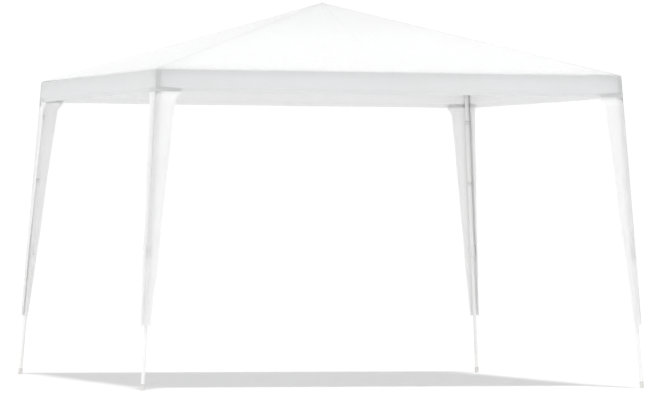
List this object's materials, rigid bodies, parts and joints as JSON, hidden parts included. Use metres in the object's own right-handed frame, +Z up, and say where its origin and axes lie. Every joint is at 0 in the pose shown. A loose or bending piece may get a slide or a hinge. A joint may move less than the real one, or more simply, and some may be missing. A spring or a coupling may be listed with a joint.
{
  "type": "folding gazebo",
  "caption": "Square folding garden gazebo with a pyramid canopy, short valance, four tapered leg covers and telescopic legs that lean out.",
  "frame": {"origin": "on the ground under the peak of the canopy", "axes": "+Z up; front is -Y and left is -X; each side of the square canopy is square to X or Y"},
  "size_m": [3.243, 3.243, 2.4448],
  "materials": {
    "canopy_fabric": "coated white woven polyethylene",
    "cover_fabric": "coated white woven polyethylene",
    "painted_tube": "white powder coat",
    "moulded_plastic": "white moulded nylon",
    "zinc_steel": "zinc plated",
    "foot_plastic": "light grey moulded plastic"
  },
  "bodies": {
    "hub": {"hub_body": "moulded_plastic", "hub_cap": "moulded_plastic", "hub_pins": "zinc_steel"},
    "inner_rib_rear_right": {"inner_rib_rear_right": "painted_tube", "rib_knuckle_rear_right": "moulded_plastic"},
    "outer_rib_rear_right": {"outer_rib_rear_right": "painted_tube", "canopy_rear_right": "canopy_fabric"},
    "corner_rear_right": {"corner_bracket_rear_right": "moulded_plastic", "leg_outer_rear_right": "painted_tube", "leg_collar_rear_right": "moulded_plastic", "leg_cover_rear_right": "cover_fabric"},
    "lower_leg_rear_right": {"leg_inner_rear_right": "painted_tube", "foot_rear_right": "foot_plastic"},
    "button_rear_right": {"snap_button_rear_right": "moulded_plastic"},
    "eave_bar_rear_right": {"eave_bar_rear_right": "painted_tube"},
    "eave_link_rear": {"eave_link_rear": "moulded_plastic"},
    "eave_bar_right_rear": {"eave_bar_right_rear": "painted_tube"},
    "inner_rib_rear_left": {"inner_rib_rear_left": "painted_tube", "rib_knuckle_rear_left": "moulded_plastic"},
    "outer_rib_rear_left": {"outer_rib_rear_left": "painted_tube", "canopy_rear_left": "canopy_fabric"},
    "corner_rear_left": {"corner_bracket_rear_left": "moulded_plastic", "leg_outer_rear_left": "painted_tube", "leg_collar_rear_left": "moulded_plastic", "leg_cover_rear_left": "cover_fabric"},
    "lower_leg_rear_left": {"leg_inner_rear_left": "painted_tube", "foot_rear_left": "foot_plastic"},
    "button_rear_left": {"snap_button_rear_left": "moulded_plastic"},
    "eave_bar_left_rear": {"eave_bar_left_rear": "painted_tube"},
    "eave_link_left": {"eave_link_left": "moulded_plastic"},
    "eave_bar_rear_left": {"eave_bar_rear_left": "painted_tube"},
    "inner_rib_front_left": {"inner_rib_front_left": "painted_tube", "rib_knuckle_front_left": "moulded_plastic"},
    "outer_rib_front_left": {"outer_rib_front_left": "painted_tube", "canopy_front_left": "canopy_fabric"},
    "corner_front_left": {"corner_bracket_front_left": "moulded_plastic", "leg_outer_front_left": "painted_tube", "leg_collar_front_left": "moulded_plastic", "leg_cover_front_left": "cover_fabric"},
    "lower_leg_front_left": {"leg_inner_front_left": "painted_tube", "foot_front_left": "foot_plastic"},
    "button_front_left": {"snap_button_front_left": "moulded_plastic"},
    "eave_bar_front_left": {"eave_bar_front_left": "painted_tube"},
    "eave_link_front": {"eave_link_front": "moulded_plastic"},
    "eave_bar_left_front": {"eave_bar_left_front": "painted_tube"},
    "inner_rib_front_right": {"inner_rib_front_right": "painted_tube", "rib_knuckle_front_right": "moulded_plastic"},
    "outer_rib_front_right": {"outer_rib_front_right": "painted_tube", "canopy_front_right": "canopy_fabric"},
    "corner_front_right": {"corner_bracket_front_right": "moulded_plastic", "leg_outer_front_right": "painted_tube", "leg_collar_front_right": "moulded_plastic", "leg_cover_front_right": "cover_fabric"},
    "lower_leg_front_right": {"leg_inner_front_right": "painted_tube", "foot_front_right": "foot_plastic"},
    "button_front_right": {"snap_button_front_right": "moulded_plastic"},
    "eave_bar_right_front": {"eave_bar_right_front": "painted_tube"},
    "eave_link_right": {"eave_link_right": "moulded_plastic"},
    "eave_bar_front_right": {"eave_bar_front_right": "painted_tube"}
  },
  "joints": [
    {"name": "fold", "type": "hinge", "parent": "hub", "child": "inner_rib_rear_right", "pos_m": [0.03889, 0.03889, 2.39817], "axis": [-0.7071, 0.7071, 0], "range_deg": [0, 76.55], "deforming": ["canopy_rear_right", "canopy_rear_left", "canopy_front_left", "canopy_front_right"]},
    {"name": "knuckle_rear_right", "type": "hinge", "parent": "inner_rib_rear_right", "child": "outer_rib_rear_right", "pos_m": [0.75448, 0.75448, 2.17061], "axis": [-0.7071, 0.7071, 0], "range_deg": [-180.01, 0]},
    {"name": "corner_hinge_rear_right", "type": "hinge", "parent": "outer_rib_rear_right", "child": "corner_rear_right", "pos_m": [1.45172, 1.45172, 1.92047], "axis": [-0.7071, 0.7071, 0], "range_deg": [0, 108.92]},
    {"name": "leg_slide_rear_right", "type": "slide", "parent": "corner_rear_right", "child": "lower_leg_rear_right", "axis": [-0.0674, -0.0674, 0.9954], "range_m": [0, 0.752], "deforming": ["leg_cover_rear_right"]},
    {"name": "button_press_rear_right", "type": "slide", "parent": "corner_rear_right", "child": "button_rear_right", "axis": [0.7039, 0.7039, 0.0953], "range_m": [0, 0.003], "stiffness_N_per_m": 800, "springref_m": -0.001},
    {"name": "bar_hinge_rear_right", "type": "hinge", "parent": "corner_rear_right", "child": "eave_bar_rear_right", "pos_m": [1.44284, 1.47792, 1.92165], "axis": [0, -0.9977, -0.0675], "range_deg": [0, 93.87]},
    {"name": "link_hinge_rear", "type": "hinge", "parent": "eave_bar_rear_right", "child": "eave_link_rear", "pos_m": [0.04985, 1.47792, 1.92165], "axis": [0, -0.9977, -0.0675], "range_deg": [-90.01, 0]},
    {"name": "bar_hinge_right_rear", "type": "hinge", "parent": "corner_rear_right", "child": "eave_bar_right_rear", "pos_m": [1.47792, 1.44284, 1.92165], "axis": [0.9977, 0, 0.0675], "range_deg": [0, 93.87]},
    {"name": "hub_hinge_rear_left", "type": "hinge", "parent": "hub", "child": "inner_rib_rear_left", "pos_m": [-0.03889, 0.03889, 2.39817], "axis": [-0.7071, -0.7071, 0], "range_deg": [0, 76.56]},
    {"name": "knuckle_rear_left", "type": "hinge", "parent": "inner_rib_rear_left", "child": "outer_rib_rear_left", "pos_m": [-0.75448, 0.75448, 2.17061], "axis": [-0.7071, -0.7071, 0], "range_deg": [-180.01, 0]},
    {"name": "corner_hinge_rear_left", "type": "hinge", "parent": "outer_rib_rear_left", "child": "corner_rear_left", "pos_m": [-1.45172, 1.45172, 1.92047], "axis": [-0.7071, -0.7071, 0], "range_deg": [0, 108.92]},
    {"name": "leg_slide_rear_left", "type": "slide", "parent": "corner_rear_left", "child": "lower_leg_rear_left", "axis": [0.0674, -0.0674, 0.9954], "range_m": [0, 0.752], "deforming": ["leg_cover_rear_left"]},
    {"name": "button_press_rear_left", "type": "slide", "parent": "corner_rear_left", "child": "button_rear_left", "axis": [-0.7039, 0.7039, 0.0953], "range_m": [0, 0.003], "stiffness_N_per_m": 800, "springref_m": -0.001},
    {"name": "bar_hinge_left_rear", "type": "hinge", "parent": "corner_rear_left", "child": "eave_bar_left_rear", "pos_m": [-1.47792, 1.44284, 1.92165], "axis": [0.9977, 0, -0.0675], "range_deg": [0, 93.87]},
    {"name": "link_hinge_left", "type": "hinge", "parent": "eave_bar_left_rear", "child": "eave_link_left", "pos_m": [-1.47792, 0.04985, 1.92165], "axis": [0.9977, 0, -0.0675], "range_deg": [-90.01, 0]},
    {"name": "bar_hinge_rear_left", "type": "hinge", "parent": "corner_rear_left", "child": "eave_bar_rear_left", "pos_m": [-1.44284, 1.47792, 1.92165], "axis": [0, 0.9977, 0.0675], "range_deg": [0, 93.87]},
    {"name": "hub_hinge_front_left", "type": "hinge", "parent": "hub", "child": "inner_rib_front_left", "pos_m": [-0.03889, -0.03889, 2.39817], "axis": [0.7071, -0.7071, 0], "range_deg": [0, 76.56]},
    {"name": "knuckle_front_left", "type": "hinge", "parent": "inner_rib_front_left", "child": "outer_rib_front_left", "pos_m": [-0.75448, -0.75448, 2.17061], "axis": [0.7071, -0.7071, 0], "range_deg": [-180.01, 0]},
    {"name": "corner_hinge_front_left", "type": "hinge", "parent": "outer_rib_front_left", "child": "corner_front_left", "pos_m": [-1.45172, -1.45172, 1.92047], "axis": [0.7071, -0.7071, 0], "range_deg": [0, 108.92]},
    {"name": "leg_slide_front_left", "type": "slide", "parent": "corner_front_left", "child": "lower_leg_front_left", "axis": [0.0674, 0.0674, 0.9954], "range_m": [0, 0.752], "deforming": ["leg_cover_front_left"]},
    {"name": "button_press_front_left", "type": "slide", "parent": "corner_front_left", "child": "button_front_left", "axis": [-0.7039, -0.7039, 0.0953], "range_m": [0, 0.003], "stiffness_N_per_m": 800, "springref_m": -0.001},
    {"name": "bar_hinge_front_left", "type": "hinge", "parent": "corner_front_left", "child": "eave_bar_front_left", "pos_m": [-1.44284, -1.47792, 1.92165], "axis": [0, 0.9977, -0.0675], "range_deg": [0, 93.87]},
    {"name": "link_hinge_front", "type": "hinge", "parent": "eave_bar_front_left", "child": "eave_link_front", "pos_m": [-0.04985, -1.47792, 1.92165], "axis": [0, 0.9977, -0.0675], "range_deg": [-90.01, 0]},
    {"name": "bar_hinge_left_front", "type": "hinge", "parent": "corner_front_left", "child": "eave_bar_left_front", "pos_m": [-1.47792, -1.44284, 1.92165], "axis": [-0.9977, 0, 0.0675], "range_deg": [0, 93.87]},
    {"name": "hub_hinge_front_right", "type": "hinge", "parent": "hub", "child": "inner_rib_front_right", "pos_m": [0.03889, -0.03889, 2.39817], "axis": [0.7071, 0.7071, 0], "range_deg": [0, 76.56]},
    {"name": "knuckle_front_right", "type": "hinge", "parent": "inner_rib_front_right", "child": "outer_rib_front_right", "pos_m": [0.75448, -0.75448, 2.17061], "axis": [0.7071, 0.7071, 0], "range_deg": [-180.01, 0]},
    {"name": "corner_hinge_front_right", "type": "hinge", "parent": "outer_rib_front_right", "child": "corner_front_right", "pos_m": [1.45172, -1.45172, 1.92047], "axis": [0.7071, 0.7071, 0], "range_deg": [0, 108.92]},
    {"name": "leg_slide_front_right", "type": "slide", "parent": "corner_front_right", "child": "lower_leg_front_right", "axis": [-0.0674, 0.0674, 0.9954], "range_m": [0, 0.752], "deforming": ["leg_cover_front_right"]},
    {"name": "button_press_front_right", "type": "slide", "parent": "corner_front_right", "child": "button_front_right", "axis": [0.7039, -0.7039, 0.0953], "range_m": [0, 0.003], "stiffness_N_per_m": 800, "springref_m": -0.001},
    {"name": "bar_hinge_right_front", "type": "hinge", "parent": "corner_front_right", "child": "eave_bar_right_front", "pos_m": [1.47792, -1.44284, 1.92165], "axis": [-0.9977, 0, -0.0675], "range_deg": [0, 93.87]},
    {"name": "link_hinge_right", "type": "hinge", "parent": "eave_bar_right_front", "child": "eave_link_right", "pos_m": [1.47792, -0.04985, 1.92165], "axis": [-0.9977, 0, -0.0675], "range_deg": [-90.01, 0]},
    {"name": "bar_hinge_front_right", "type": "hinge", "parent": "corner_front_right", "child": "eave_bar_front_right", "pos_m": [1.44284, -1.47792, 1.92165], "axis": [0, -0.9977, 0.0675], "range_deg": [0, 93.87]}
  ],
  "couplings": [
    {"joint": "knuckle_rear_right", "follows": "fold", "ratio": -2.3513},
    {"joint": "corner_hinge_rear_right", "follows": "fold", "ratio": 1.4227},
    {"joint": "bar_hinge_rear_right", "follows": "fold", "ratio": 1.2261},
    {"joint": "link_hinge_rear", "follows": "fold", "ratio": -1.1756},
    {"joint": "bar_hinge_right_rear", "follows": "fold", "ratio": 1.2261},
    {"joint": "hub_hinge_rear_left", "follows": "fold", "ratio": 1},
    {"joint": "knuckle_rear_left", "follows": "fold", "ratio": -2.3513},
    {"joint": "corner_hinge_rear_left", "follows": "fold", "ratio": 1.4227},
    {"joint": "bar_hinge_left_rear", "follows": "fold", "ratio": 1.2261},
    {"joint": "link_hinge_left", "follows": "fold", "ratio": -1.1756},
    {"joint": "bar_hinge_rear_left", "follows": "fold", "ratio": 1.2261},
    {"joint": "hub_hinge_front_left", "follows": "fold", "ratio": 1},
    {"joint": "knuckle_front_left", "follows": "fold", "ratio": -2.3513},
    {"joint": "corner_hinge_front_left", "follows": "fold", "ratio": 1.4227},
    {"joint": "bar_hinge_front_left", "follows": "fold", "ratio": 1.2261},
    {"joint": "link_hinge_front", "follows": "fold", "ratio": -1.1756},
    {"joint": "bar_hinge_left_front", "follows": "fold", "ratio": 1.2261},
    {"joint": "hub_hinge_front_right", "follows": "fold", "ratio": 1},
    {"joint": "knuckle_front_right", "follows": "fold", "ratio": -2.3513},
    {"joint": "corner_hinge_front_right", "follows": "fold", "ratio": 1.4227},
    {"joint": "bar_hinge_right_front", "follows": "fold", "ratio": 1.2261},
    {"joint": "link_hinge_right", "follows": "fold", "ratio": -1.1756},
    {"joint": "bar_hinge_front_right", "follows": "fold", "ratio": 1.2261}
  ]
}
